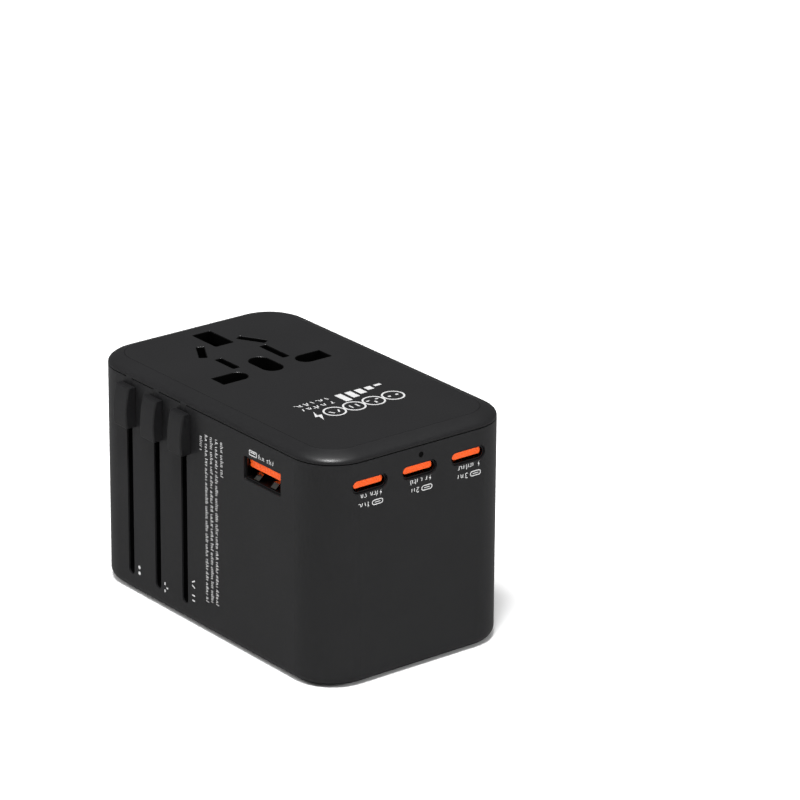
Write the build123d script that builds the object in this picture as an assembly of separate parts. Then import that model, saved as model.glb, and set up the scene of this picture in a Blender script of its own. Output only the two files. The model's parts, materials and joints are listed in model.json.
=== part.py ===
from build123d import *
from math import cos, radians, sin
import os

# Universal travel adapter, in millimetres, with every prong drawn in.
# +X runs along the long side towards the three small USB ports, -Y is the side with the
# slide knobs, and +Z runs from the plug face (z = 0) up to the socket face.
# Everything is drawn about the middle of the casing. save() then moves it by half of the
# knobs' height, so that the origin is the centre of the whole object's footprint.

# --- casing -------------------------------------------------------------------------------
LENGTH = 84.1
WIDTH = 51.2
HEIGHT = 52.45
CORNER_R = 10.0
WALL = 2.2
FLOOR = 2.2
BASE_FILLET = 2.3
CASING_TOP = 50.1
SEAM_GAP = 0.25
RIM_INSET = 3.6
CREASE_WIDTH = 0.22
CREASE_DEPTH = 0.14
COVER_PLATE = 2.55
SKIRT_DEPTH = 3.1
SKIRT_WALL = 1.2
FIT = 0.1
MID_Y = -0.8  # middle line between the live and the neutral side
DIMPLES = [(1.6, -19.3), (-7.5, -17.7), (-16.5, -17.8), (-29.0, -20.9), (-28.1, 20.3)]
DIMPLE_R = 2.2
DIMPLE_CENTRE = -1.7

X_OUT = LENGTH / 2
Y_OUT = WIDTH / 2
X_IN = X_OUT - WALL
Y_IN = Y_OUT - WALL
COVER_BASE = CASING_TOP + SEAM_GAP
PLATE_BASE = HEIGHT - COVER_PLATE

# --- slide knobs and their slots ------------------------------------------------------------
SLOT_WIDTH = 2.1
SLOT_BASE = 4.1
EU_SLOT_X = -27.2
UK_SLOT_X = -17.1
US_SLOT_X = -7.1
KNOB_WIDTH = 5.0
KNOB_BASE = 39.4
KNOB_TOP = 48.7
KNOB_BELLY = 42.6
KNOB_PROUD = 2.7
KNOB_GAP = 0.15
STEM_WIDTH = 1.9
STEM_BASE = 40.6
STEM_TOP = 46.8

# --- European two-pin plug --------------------------------------------------------------------
EU_X = -33.8
EU_PIN_R = 2.0
EU_PIN_SPACING = 18.0
EU_PIN_TIP = 0.9
EU_CARRIER_BASE = 40.0
EU_CARRIER_TOP = 45.0
BLOCK_LENGTH = 35.4
BLOCK_WIDTH = 9.2
BLOCK_TIP = 4.4
BLOCK_TOP = 20.5
BLOCK_FLANGE = 0.8
BLOCK_FIT = 0.15

# --- British three-pin plug -------------------------------------------------------------------
UK_X = -22.0
UK_PIN_WIDTH = 6.35
UK_PIN_THICK = 3.97
UK_PIN_SPACING = 22.2
UK_EARTH_X = 0.2
UK_EARTH_HEIGHT = 8.0
UK_EARTH_WIDTH = 4.0
UK_SLEEVE = 9.0

# --- American and Australian blades -----------------------------------------------------------
US_X = -4.35
US_SPACING = 12.8
BLADE_WIDTH = 6.35
BLADE_THICK = 1.55
BLADE_HOLE_R = 1.6
ROTOR_R = 3.3
ROTOR_FIT = 0.05
TWIST_DEG = 30.0

# --- carriers that the British and American pins ride on ----------------------------------------
CARRIER_BASE = 20.3
CARRIER_TOP = 24.5
RISER_Y0 = -23.0
RISER_Y1 = -20.5

# --- fuse drawer --------------------------------------------------------------------------------
FUSE_X0 = -15.0
FUSE_X1 = 5.8
FUSE_Y0 = 16.2
FUSE_Y1 = 22.5
FUSE_R = 2.5
FUSE_Z = 4.7
DOOR_FIT = 0.1
NOTCH_R = 1.95
NOTCH_DEPTH = 1.2

# --- socket -------------------------------------------------------------------------------------
HOUSING_BASE = 26.5
HOUSING_FLOOR = 28.0
HOUSING_TOP = 47.4
LEAF = 0.5
LEAF_TOP = 42.0
SHUTTER_BASE = 47.6
SHUTTER_THICK = 1.4
SOCKET_REACH = 17.0  # every socket hole is nearer the middle line than this
MOUTH_CHAMFER = 0.18

# --- ports and boards -----------------------------------------------------------------------------
USB_A_X = 21.0
USB_A_Z = 42.75
USB_A_WIDTH = 12.6
USB_A_HEIGHT = 5.1
USB_C_Z = 44.8
USB_C_PITCH = 13.05
USB_C_WIDTH = 9.2
USB_C_HEIGHT = 3.2
USB_C_Y = [MID_Y + 0.45 + step * USB_C_PITCH for step in (-1, 0, 1)]
LAMP_Z = 48.15
LAMP_R = 0.6
BOARD = 1.0
MAIN_BOARD_Z = 12.0
USB_BOARD_Z = 46.25
BOARD_POSTS = [(12.9, -19.5), (12.9, 19.5), (34.0, -19.6), (34.0, 19.6)]
HOUSING_POSTS = [(-12.5, -20.5), (1.6, -19.3), (-19.5, 19.5)]
POST_R = 2.0
PILLAR_R = 1.5
INPUT_CANS = [(19.0, 14.8), (29.8, 14.0)]
OUTPUT_CANS = [(17.0, -14.0), (26.0, -14.0)]
CHOKE_PLACE = (34.0, -12.5)
SCREW_R = 0.95
SCREW_HEAD_R = 1.8
SCREW_HEAD = 1.2


def span(x0, x1, y0, y1, z0, z1):
    """A box given by its limits."""
    return Pos((x0 + x1) / 2, (y0 + y1) / 2, (z0 + z1) / 2) * Box(x1 - x0, y1 - y0, z1 - z0)


def sided(side, x0, x1, v0, v1, z0, z1):
    """A box whose Y limits are counted outwards from the middle line: side -1 live, +1 neutral."""
    low, high = sorted((MID_Y + side * v0, MID_Y + side * v1))
    return span(x0, x1, low, high, z0, z1)


def post(x, y, radius, z0, z1):
    """An upright cylinder."""
    return Pos(x, y, (z0 + z1) / 2) * Cylinder(radius, z1 - z0)


def prism(sketch, z0, z1):
    """A flat outline raised from z0 to z1."""
    return extrude(Pos(0, 0, z0) * sketch, amount=z1 - z0)


def plan(inset, z0, z1):
    """The casing's rounded outline, drawn in by an inset."""
    return prism(RectangleRounded(LENGTH - 2 * inset, WIDTH - 2 * inset, CORNER_R - inset), z0, z1)


def tube_along_y(width, height, radius, x, z, y0, y1):
    """A rounded bar along Y."""
    face = Plane.XZ * RectangleRounded(width, height, radius)
    return Pos(x, y1, z) * extrude(face, amount=y1 - y0)


def tube_along_x(width, height, radius, y, z, x0, x1):
    """A rounded bar along X."""
    face = Plane.YZ * RectangleRounded(width, height, radius)
    return Pos(x0, y, z) * extrude(face, amount=x1 - x0)


def hexagon(grow):
    """Outline of the European plug block: a flat-sided bar with a blunt point at each end."""
    half = BLOCK_LENGTH / 2 + grow
    side = BLOCK_WIDTH / 2 + grow
    shoulder = half - BLOCK_TIP - grow * 0.4
    outline = Polygon(
        (0, half), (-side, shoulder), (-side, -shoulder), (0, -half), (side, -shoulder), (side, shoulder)
    )
    return Pos(EU_X, MID_Y) * fillet(outline.vertices(), 1.2)


def bow_tie(side):
    """Slot that lets a blade turn from upright to 30 degrees: two opposite wedges of a disc."""
    reach = BLADE_WIDTH / 2 + 0.2
    far = 2 * reach
    turned = side * TWIST_DEG
    slot = Rectangle(BLADE_WIDTH + 0.3, BLADE_THICK + 0.35)
    slot += Rot(0, 0, turned) * Rectangle(BLADE_WIDTH + 0.3, BLADE_THICK + 0.35)
    for way in (1, -1):
        tip = (way * far * cos(radians(turned)), way * far * sin(radians(turned)))
        wedge = make_face(Polyline((0, 0), (way * far, 0), tip, close=True))
        slot += wedge & Circle(reach)
    return Pos(US_X, MID_Y + side * US_SPACING / 2) * slot


def knob_slots(width, z0):
    """The three slots in the knob side, open at the top and round at the bottom."""
    cut = None
    for x in (EU_SLOT_X, UK_SLOT_X, US_SLOT_X):
        z_round = z0 + width / 2
        slot = span(x - width / 2, x + width / 2, -Y_OUT - 1, -Y_IN + 1, z_round, HEIGHT + 1)
        slot += Pos(x, -Y_OUT + WALL / 2, z_round) * Rot(90, 0, 0) * Cylinder(width / 2, WALL + 2)
        cut = slot if cut is None else cut + slot
    return cut


def make_casing():
    """Deep tub with the plug face as its floor, and posts for the boards and the socket."""
    tub = plan(0, 0, CASING_TOP)
    tub = fillet(tub.edges().group_by(Axis.Z)[0], BASE_FILLET)
    tub -= plan(WALL, FLOOR, CASING_TOP + 1)
    for x, y in BOARD_POSTS:
        tub += post(x, y, POST_R, FLOOR - 0.1, MAIN_BOARD_Z)
    for x, y in HOUSING_POSTS:
        tub += post(x, y, POST_R, FLOOR - 0.1, HOUSING_BASE)
        tub -= post(x, y, SCREW_R, HOUSING_BASE - 6.5, HOUSING_BASE + 1)
    tub -= knob_slots(SLOT_WIDTH, SLOT_BASE)
    tub -= prism(hexagon(BLOCK_FIT), -1, FLOOR + 1)
    for side in (-1, 1):
        y = MID_Y + side * UK_PIN_SPACING / 2
        hole = Pos(UK_X, y) * RectangleRounded(UK_PIN_THICK + 0.3, UK_PIN_WIDTH + 0.3, 0.5)
        tub -= prism(hole, -1, FLOOR + 1)
        tub -= prism(bow_tie(side), -1, FLOOR + 1)
    earth = Pos(UK_EARTH_X, MID_Y) * RectangleRounded(UK_EARTH_HEIGHT + 0.3, UK_EARTH_WIDTH + 0.5, 0.4)
    tub -= prism(earth, -1, FLOOR + 1)
    tub -= span(FUSE_X0, FUSE_X1, FUSE_Y0, FUSE_Y1, -1, FLOOR + 1)
    tub -= post(FUSE_X1, (FUSE_Y0 + FUSE_Y1) / 2, NOTCH_R, -1, NOTCH_DEPTH)
    for x, y in DIMPLES:
        tub -= Pos(x, y, DIMPLE_CENTRE) * Sphere(DIMPLE_R)
    tub -= tube_along_y(
        USB_A_WIDTH + 0.3, USB_A_HEIGHT + 0.3, 0.5, USB_A_X, USB_A_Z, -Y_OUT - 1, -Y_IN + 1
    )
    for y in USB_C_Y:
        radius = USB_C_HEIGHT / 2 - 0.01
        tub -= tube_along_x(USB_C_WIDTH, USB_C_HEIGHT, radius, y, USB_C_Z, X_IN - 1, X_OUT + 1)
    tub -= Pos(X_OUT, 0, LAMP_Z) * Rot(0, 90, 0) * Cylinder(LAMP_R + 0.05, 3 * WALL)
    return tub


def socket_holes():
    """Outlines of the holes in the socket face, one for each kind of plug that goes in."""
    holes = Pos(-30.8, MID_Y + 0.2) * RectangleRounded(8.8, 4.75, 0.3)
    holes += Pos(-11.25, MID_Y + 0.15) * RectangleRounded(9.3, 4.8, 2.39)
    for side, half_length in ((-1, 6.8 / 2), (1, 8.6 / 2)):
        holes += Pos(-16.45, MID_Y + side * 6.35) * RectangleRounded(2 * half_length, 1.65, 0.2)
        slanted = Rot(0, 0, side * TWIST_DEG) * RectangleRounded(6.6, 1.7, 0.2)
        holes += Pos(-25.3, MID_Y + side * 6.8) * slanted
        dee = Pos(0, side * 2.65) * Rectangle(4.5, 5.3) + Circle(2.25)
        holes += Pos(-8.85, MID_Y + side * 9.15) * dee
    return holes


def rim_profile():
    """Section of the cover's edge: it leaves the crease at a slope and curves down to the seam."""
    crease = (Y_OUT - RIM_INSET, HEIGHT)
    outer = (Y_OUT, COVER_BASE)
    curve = Bezier(crease, (Y_OUT - RIM_INSET * 0.6, HEIGHT - 0.36), (Y_OUT, HEIGHT - 0.95), outer)
    inner = Polyline(outer, (Y_OUT - RIM_INSET, COVER_BASE), crease)
    return Plane.YZ * make_face(curve + inner)


def crease_profile():
    """Section of the fine groove between the cover's flat top and its rounded edge."""
    middle = Y_OUT - RIM_INSET
    half = CREASE_WIDTH / 2
    top = HEIGHT + half
    groove = Polyline((middle - half, top), (middle, HEIGHT - CREASE_DEPTH), (middle + half, top), close=True)
    return Plane.YZ * make_face(groove)


def around(profile):
    """Carries a section round the outline: four straight runs joined by four quarter turns."""
    straight = {0: LENGTH / 2 - CORNER_R, 90: WIDTH / 2 - CORNER_R}
    section = Pos(0, CORNER_R - Y_OUT, 0) * profile
    loop = None
    for turn in (0, 90, 180, 270):
        half_run = straight[turn % 180]
        offset = straight[(turn + 90) % 180]
        run = Pos(-half_run, offset, 0) * extrude(section, amount=2 * half_run)
        quarter = Pos(-half_run, offset, 0) * revolve(section, Axis.Z, 90)
        piece = Rot(0, 0, turn) * (run + quarter)
        loop = piece if loop is None else loop + piece
    return loop


def make_socket_cover():
    """Lid with the socket holes, a skirt inside the casing and a tongue over each knob slot."""
    flat = RectangleRounded(LENGTH - 2 * RIM_INSET, WIDTH - 2 * RIM_INSET, CORNER_R - RIM_INSET)
    lid = prism(flat, PLATE_BASE, HEIGHT) + around(rim_profile())
    shelf = plan(WALL + FIT, PLATE_BASE, COVER_BASE + 0.3)
    skirt = plan(WALL + FIT, CASING_TOP - SKIRT_DEPTH, PLATE_BASE)
    skirt -= plan(WALL + FIT + SKIRT_WALL, CASING_TOP - SKIRT_DEPTH - 1, PLATE_BASE)
    lid += shelf
    lid += skirt
    lid -= prism(socket_holes(), CASING_TOP - SKIRT_DEPTH, HEIGHT + 1)
    face_edges = lid.edges().group_by(Axis.Z)[-1]
    crease_x = X_OUT - RIM_INSET
    mouths = [e for e in face_edges if abs(e.center().Y) < SOCKET_REACH and abs(e.center().X) < crease_x - 1]
    lid = chamfer(mouths, MOUTH_CHAMFER)
    lid -= around(crease_profile())
    tongue = SLOT_WIDTH / 2 - 0.05
    for x in (EU_SLOT_X, UK_SLOT_X, US_SLOT_X):
        lid += span(x - tongue, x + tongue, -Y_OUT, -Y_IN + 0.3, 47.9, COVER_BASE)
    for side in (-1, 1):
        lid += sided(side, -13, 3, 15.2, 16.4, SHUTTER_BASE, PLATE_BASE)
    lid += span(7.6, 8.8, MID_Y - 2, MID_Y + 2, 46.9, PLATE_BASE)
    lid -= Pos(X_IN, 0, LAMP_Z) * Rot(0, 90, 0) * Cylinder(LAMP_R + 0.05, 3 * WALL)
    return lid


def make_knob(x):
    """Thumb knob: narrow at the top and bellied below, with softened edges."""
    back = -Y_OUT - KNOB_GAP
    face = Polyline((back, KNOB_TOP), (back, KNOB_BASE), (-Y_OUT - 2.45, KNOB_BASE))
    belly = ThreePointArc(
        (-Y_OUT - 2.45, KNOB_BASE), (-Y_OUT - KNOB_PROUD, KNOB_BELLY), (-Y_OUT - 1.75, KNOB_TOP)
    )
    top = Line((-Y_OUT - 1.75, KNOB_TOP), (back, KNOB_TOP))
    section = Plane.YZ * make_face(face + belly + top)
    knob = extrude(Pos(x - KNOB_WIDTH / 2, 0, 0) * section, amount=KNOB_WIDTH)
    front_edges = [e for e in knob.edges() if e.center().Y < -Y_OUT - 1.2]
    knob = fillet(front_edges, 0.35)
    peg = span(x - STEM_WIDTH / 2, x + STEM_WIDTH / 2, -Y_OUT - 1.1, -Y_OUT, STEM_BASE, STEM_TOP - 0.3)
    return knob - peg


def stem(x, z0, z1):
    """Flat stem that passes through a knob slot and into the knob's back."""
    return span(x - STEM_WIDTH / 2, x + STEM_WIDTH / 2, -Y_OUT - 1.1, RISER_Y0 + 0.5, z0, z1)


def make_eu_carrier():
    """Yoke with a boss for each European pin and an arm to the knob slot."""
    z0, z1 = EU_CARRIER_BASE, EU_CARRIER_TOP
    yoke = span(-39.0, -30.5, RISER_Y0, -6.0, z0, z1)
    yoke += span(-39.4, -36.4, -6.5, 5.0, z0, z1)
    yoke += span(-39.4, -31.0, 4.6, 11.6, z0, z1)
    yoke += span(-36.0, -25.0, RISER_Y0, RISER_Y1, z0, z1)
    yoke &= plan(WALL + 0.4, z0, z1)
    yoke += stem(EU_SLOT_X, STEM_BASE, EU_CARRIER_TOP)
    for side in (-1, 1):
        yoke -= post(EU_X, MID_Y + side * EU_PIN_SPACING / 2, EU_PIN_R, z0 - 1, z1 - 1.2)
    for wiper in make_eu_wipers():
        yoke -= wiper
    return yoke


def make_eu_pins():
    """Two round pins with domed tips."""
    pins = []
    for side in (-1, 1):
        pin = post(EU_X, MID_Y + side * EU_PIN_SPACING / 2, EU_PIN_R, EU_PIN_TIP, EU_CARRIER_TOP - 1.2)
        pins.append(fillet(pin.edges().group_by(Axis.Z)[0], 1.5))
    return pins


def make_eu_wipers():
    """Sprung strips on the yoke that meet the bus strips once the pins are out."""
    wipers = []
    for side in (-1, 1):
        arm = sided(side, -30.5, -27.5, 12.7, 14.4, 41.0, 41.6)
        wipers.append(arm + sided(side, -31.5, -30.5, 11.2, 14.4, 41.0, 41.6))
    return wipers


def make_eu_bus_strips():
    """Upright strips beside the European block, with a foot under the socket housing."""
    strips = []
    for side in (-1, 1):
        strip = sided(side, -27.3, -26.7, 12.9, 14.6, FLOOR, HOUSING_BASE)
        strips.append(strip + sided(side, -26.7, -21.0, 12.9, 14.6, HOUSING_BASE - 0.6, HOUSING_BASE))
    return strips


def make_eu_block():
    """The European plug body, which follows the pins out of the casing."""
    block = prism(hexagon(0), 0, BLOCK_TOP)
    block = fillet(block.edges().group_by(Axis.Z)[0], 0.5)
    block += prism(hexagon(BLOCK_FLANGE), BLOCK_TOP - 2.0, BLOCK_TOP)
    for side in (-1, 1):
        y = MID_Y + side * EU_PIN_SPACING / 2
        block -= post(EU_X, y, EU_PIN_R + 0.1, -1, BLOCK_TOP + 1)
        block -= Pos(EU_X, y, 0.2) * Cone(EU_PIN_R + 0.5, EU_PIN_R + 0.1, 0.4)
    for y in (MID_Y - 15.2, MID_Y, MID_Y + 15.2):
        half = 3.5 if y == MID_Y else 0.8
        block -= span(EU_X - 2.0, EU_X + 2.0, y - half, y + half, 3.0, BLOCK_TOP + 1)
    return block


def riser(x):
    """Upright arm that links a low carrier with its knob."""
    arm = span(x - 2.0, x + 2.0, RISER_Y0, RISER_Y1, CARRIER_BASE, 46.9)
    return arm + stem(x, STEM_BASE, STEM_TOP - 0.3)


def make_uk_carrier():
    """Cross bar for the live and neutral pins with a spine to the earth pin."""
    z0, z1 = CARRIER_BASE, CARRIER_TOP
    carrier = span(-24.5, -19.5, RISER_Y0, 14.2, z0, z1)
    carrier += span(-19.8, UK_SLOT_X + 2.0, RISER_Y0, -16.2, z0, z1)
    carrier += span(-19.8, 4.2, MID_Y - 1.5, MID_Y + 1.5, z0, z1)
    carrier -= span(UK_EARTH_X - 4.0, 4.3, MID_Y - 2.2, MID_Y + 2.2, z0 - 1, 23.3)
    carrier += riser(UK_SLOT_X)
    for side in (-1, 1):
        y = MID_Y + side * UK_PIN_SPACING / 2
        carrier -= span(UK_X - 1.6, UK_X + 1.6, y - 2.6, y + 2.6, z0 - 1, 22.8)
    return carrier


def make_uk_pin(side):
    """Flat live or neutral pin: bevelled tip, waist for the sleeve, tail in the carrier."""
    y = MID_Y + side * UK_PIN_SPACING / 2
    half_t, half_w = UK_PIN_THICK / 2, UK_PIN_WIDTH / 2
    waist = CARRIER_BASE - UK_SLEEVE
    pin = span(UK_X - half_t, UK_X + half_t, y - half_w, y + half_w, 0.15, waist)
    tip_edges = pin.edges().group_by(Axis.Z)[0]
    pin = chamfer(tip_edges, 0.6)
    pin += span(UK_X - 1.6, UK_X + 1.6, y - 2.6, y + 2.6, waist - 0.1, 22.8)
    return pin


def make_uk_sleeves():
    """Insulating collars around the root of the live and neutral pins."""
    sleeves = []
    for side in (-1, 1):
        y = MID_Y + side * UK_PIN_SPACING / 2
        half_t, half_w = UK_PIN_THICK / 2, UK_PIN_WIDTH / 2
        root = CARRIER_BASE - UK_SLEEVE
        collar = span(UK_X - half_t, UK_X + half_t, y - half_w, y + half_w, root, CARRIER_BASE)
        collar -= span(UK_X - 1.6, UK_X + 1.6, y - 2.6, y + 2.6, 0, CARRIER_TOP)
        sleeves.append(collar)
    return sleeves


def make_uk_earth_pin():
    """Plastic earth pin, tapered at its tip."""
    half_h, half_w = UK_EARTH_HEIGHT / 2, UK_EARTH_WIDTH / 2
    x = UK_EARTH_X
    pin = span(x - half_h, x + half_h, MID_Y - half_w, MID_Y + half_w, 3.0, 23.3)
    foot = Pos(x, MID_Y, 3.0) * Rectangle(2 * half_h, 2 * half_w)
    tip = Pos(x, MID_Y, 0.1) * Rectangle(2 * half_h - 2.0, 2 * half_w - 1.7)
    pin += loft([foot, tip])
    return pin


def make_uk_wipers():
    """Strips on the British carrier that slide on the bus rails."""
    return [sided(side, -19.5, -14.15, 9.6, 12.6, 22.0, 22.5) for side in (-1, 1)]


def make_us_carrier():
    """Frame that goes round the earth pin, with a round seat for each blade's rotor."""
    z0, z1 = CARRIER_BASE, CARRIER_TOP
    carrier = span(5.2, 8.6, MID_Y - 11.2, MID_Y + 11.2, z0, z1)
    for side in (-1, 1):
        carrier += sided(side, -9.5, 5.6, 2.25, 11.2, z0, z1)
        carrier -= post(US_X, MID_Y + side * US_SPACING / 2, ROTOR_R + ROTOR_FIT, z0 - 1, z1 + 1)
    carrier += span(-9.5, US_SLOT_X + 2.0, RISER_Y0, MID_Y - 11.0, z0, z1)
    return carrier + riser(US_SLOT_X)


def make_us_wipers():
    """Strips on the American carrier that slide on the bus rails."""
    return [sided(side, -13.05, -9.5, 8.6, 10.8, 22.0, 22.5) for side in (-1, 1)]


def make_us_rotor(side):
    """Round seat that turns a blade in its carrier."""
    y = MID_Y + side * US_SPACING / 2
    rotor = post(US_X, y, ROTOR_R, CARRIER_BASE, CARRIER_TOP + 0.1)
    rotor += post(US_X, y, ROTOR_R + 0.5, CARRIER_TOP + 0.1, CARRIER_TOP + 0.9)
    half_w, half_t = BLADE_WIDTH / 2 - 0.6, BLADE_THICK / 2
    return rotor - span(US_X - half_w, US_X + half_w, y - half_t, y + half_t, CARRIER_BASE - 1, 23.5)


def make_us_blade(side):
    """Flat blade with a hole near its bevelled tip."""
    y = MID_Y + side * US_SPACING / 2
    half_w, half_t = BLADE_WIDTH / 2, BLADE_THICK / 2
    blade = span(US_X - half_w, US_X + half_w, y - half_t, y + half_t, 0.3, CARRIER_BASE)
    corners = [e for e in blade.edges().filter_by(Axis.Y) if e.center().Z < 1]
    blade = fillet(corners, 1.0)
    low_edges = [e for e in blade.edges() if e.center().Z < 1.4]
    tip_edges = [e for e in low_edges if abs(abs(e.center().Y - y) - half_t) < 0.01]
    blade = chamfer(tip_edges, 0.35)
    blade += span(US_X - half_w + 0.6, US_X + half_w - 0.6, y - half_t, y + half_t, CARRIER_BASE - 0.1, 23.5)
    blade -= Pos(US_X, y, 3.5) * Rot(90, 0, 0) * Cylinder(BLADE_HOLE_R, 3 * BLADE_THICK)
    return blade


def make_fuse_drawer():
    """Door flush with the plug face, with two side walls that hold the fuse."""
    x0, x1 = FUSE_X0 + DOOR_FIT, FUSE_X1 - DOOR_FIT
    y0, y1 = FUSE_Y0 + DOOR_FIT, FUSE_Y1 - DOOR_FIT
    drawer = span(x0, x1, y0, y1, 0, 2.0)
    drawer += span(x0, x1, y0, y0 + 0.5, 1.9, 7.6)
    drawer += span(x0, x1, y1 - 0.5, y1, 1.9, 7.6)
    return drawer


def fuse_rod(x0, x1, radius):
    """A cylinder along the fuse's axis."""
    y = (FUSE_Y0 + FUSE_Y1) / 2
    return Pos((x0 + x1) / 2, y, FUSE_Z) * Rot(0, 90, 0) * Cylinder(radius, x1 - x0)


def make_fuse_caps():
    """Metal end caps of the fuse."""
    caps = []
    for x0, x1 in ((-14.6, -9.6), (0.4, 5.4)):
        cap = fuse_rod(x0, x1, FUSE_R)
        inner = fuse_rod(x0 + 0.4, x1 + 1, 2.2) if x0 < -10 else fuse_rod(x0 - 1, x1 - 0.4, 2.2)
        caps.append(cap - inner)
    return caps


def make_fuse_clips():
    """Fixed contacts above the fuse caps, clear of the drawer's way out."""
    y0, y1 = 17.6, 21.1
    left = span(-16.3, -15.9, y0, y1, FLOOR, 7.9) + span(-16.3, -11.0, y0, y1, 7.45, 7.9)
    right = span(6.6, 7.0, y0, y1, FLOOR, 7.9) + span(1.8, 7.0, y0, y1, 7.45, 7.9)
    return [left, right]


def make_contact_housing():
    """Insulating block under the socket face, with a pocket for each contact."""
    z0, z1 = HOUSING_BASE, HOUSING_TOP
    housing = span(-26.3, 0, -19.8, 18.2, z0, z1)
    housing += span(-29.6, -26.0, -12.5, 10.6, z0, z1)
    housing += span(-35.8, -29.0, MID_Y - 3.6, MID_Y + 3.9, z0, z1)
    housing += span(-14.5, -10.5, -22.6, -19.5, z0, HOUSING_FLOOR)
    housing += span(-0.4, 3.6, -21.4, -17.0, z0, HOUSING_FLOOR)
    housing += span(-21.5, -17.5, 18.0, 21.6, z0, HOUSING_FLOOR)
    housing -= span(-24.9, -1.5, MID_Y - 17.2, MID_Y - 3.9, HOUSING_FLOOR, z1 + 1)
    housing -= span(-28.4, -24.8, MID_Y - 10.3, MID_Y - 3.9, HOUSING_FLOOR, z1 + 1)
    housing -= span(-24.9, -1.5, MID_Y + 3.9, MID_Y + 17.2, HOUSING_FLOOR, z1 + 1)
    housing -= span(-28.4, -24.8, MID_Y + 3.9, MID_Y + 10.3, HOUSING_FLOOR, z1 + 1)
    housing -= span(-16.4, -6.0, MID_Y - 2.7, MID_Y + 2.9, HOUSING_FLOOR + 1, z1 + 1)
    housing -= span(-35.4, -26.2, MID_Y - 2.7, MID_Y + 2.9, HOUSING_FLOOR + 1, z1 + 1)
    for side in (-1, 1):
        housing -= sided(side, -14.1, -13.1, 8.1, 13.8, z0 - 1, HOUSING_FLOOR + 1)
    for x, y in HOUSING_POSTS:
        housing -= post(x, y, SCREW_R + 0.15, z0 - 1, HOUSING_FLOOR + SCREW_HEAD)
        housing -= post(x, y, SCREW_HEAD_R + 0.3, HOUSING_FLOOR, HOUSING_TOP + 1)
    return housing


def make_pole_contact(side):
    """Live or neutral contact: a base strip, a pair of leaves at each slot and a bus rail."""
    base = HOUSING_FLOOR
    contact = sided(side, -24.6, -3.5, 4.4, 14.4, base, base + LEAF)
    contact += sided(side, -27.9, -24.5, 4.4, 9.9, base, base + LEAF)
    for x in (-12.1, -6.1):
        contact += sided(side, x, x + LEAF, 7.5, 14.0, base, LEAF_TOP)
    for v in (4.95, 7.35):
        contact += sided(side, -20.6, -13.0, v, v + 0.4, base, LEAF_TOP)
    for way in (-1, 1):
        leaf = Pos(0, way * 1.3) * Rectangle(4.2, 0.4)
        leaf = Pos(-25.3, MID_Y + side * 6.8) * Rot(0, 0, side * TWIST_DEG) * leaf
        contact += prism(leaf, base, LEAF_TOP)
    contact += sided(side, -14.0, -13.2, 8.2, 13.7, 3.0, base + LEAF)
    return contact


def make_earth_contact():
    """Folded clip for an earth pin at the end of the socket, with a bridge to the middle."""
    base = HOUSING_FLOOR + 1
    clip = span(-35.0, -26.6, MID_Y - 2.7, MID_Y + 2.9, base, base + LEAF)
    clip += span(-34.0, -27.6, MID_Y - 2.7, MID_Y - 2.35, base, LEAF_TOP)
    clip += span(-34.0, -27.6, MID_Y + 2.65, MID_Y + 2.9, base, LEAF_TOP)
    return clip


def make_shutter():
    """Sliding guard: a ramped pad over each main hole, joined by a bar."""
    z0, z1 = SHUTTER_BASE, SHUTTER_BASE + SHUTTER_THICK
    guard = span(-6.1, -3.1, MID_Y - 14.9, MID_Y + 14.9, z0, z1)
    for side in (-1, 1):
        guard += sided(side, -11.6, -6.0, 5.9, 14.9, z0, z1)
    ramp = [e for e in guard.edges().filter_by(Axis.Y) if e.center().X < -11 and e.center().Z > z1 - 0.1]
    guard = chamfer(ramp, 1.1)
    return guard + span(-3.2, -1.6, MID_Y - 1.7, MID_Y + 1.7, z0, z1)


def make_shutter_spring():
    """Coil spring that pushes the guard shut."""
    radius, wire, height = 0.8, 0.2, 8.6
    path = Helix(pitch=1.35, height=height, radius=radius)
    section = Plane(origin=path @ 0, z_dir=path % 0) * Circle(wire)
    coil = sweep(section, path=path)
    return Pos(-1.3, MID_Y, SHUTTER_BASE + 1.0) * Rot(0, 90, 0) * coil


def make_usb_a_shell():
    """Folded steel shell of the large port, with two legs up to the board."""
    y0, y1 = -Y_OUT + 0.5, -11.5
    shell = tube_along_y(USB_A_WIDTH, USB_A_HEIGHT, 0.45, USB_A_X, USB_A_Z, y0, y1)
    shell -= tube_along_y(USB_A_WIDTH - 0.7, USB_A_HEIGHT - 0.7, 0.25, USB_A_X, USB_A_Z, y0 - 1, y1 - 0.4)
    top = USB_A_Z + USB_A_HEIGHT / 2
    for x in (USB_A_X - 5.2, USB_A_X + 4.2):
        shell += span(x, x + 1.0, -15.0, -13.0, top - 0.2, USB_BOARD_Z)
    return shell


def make_usb_a_tongue():
    """Plastic tongue in the upper half of the large port."""
    return tube_along_y(11.3, 1.9, 0.15, USB_A_X, USB_A_Z + 1.15, -Y_OUT + 1.2, -11.9)


def make_usb_c_shell(y):
    """Seamless steel shell of a small port."""
    width, height = USB_C_WIDTH - 0.3, USB_C_HEIGHT - 0.3
    shell = tube_along_x(width, height, height / 2 - 0.01, y, USB_C_Z, 33.5, X_OUT - 0.45)
    shell -= tube_along_x(width - 0.6, height - 0.6, height / 2 - 0.31, y, USB_C_Z, 33.9, X_OUT)
    return shell


def make_usb_c_tongue(y):
    """Plastic tongue of a small port."""
    return tube_along_x(7.5, 1.5, 0.6, y, USB_C_Z + 0.25, 33.9, X_OUT - 0.9)


def make_main_board():
    """Power board on the four low posts."""
    outline = Pos(24.55, 0) * RectangleRounded(28.0, 44.4, 5.5)
    return prism(outline, MAIN_BOARD_Z, MAIN_BOARD_Z + BOARD)


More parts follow.
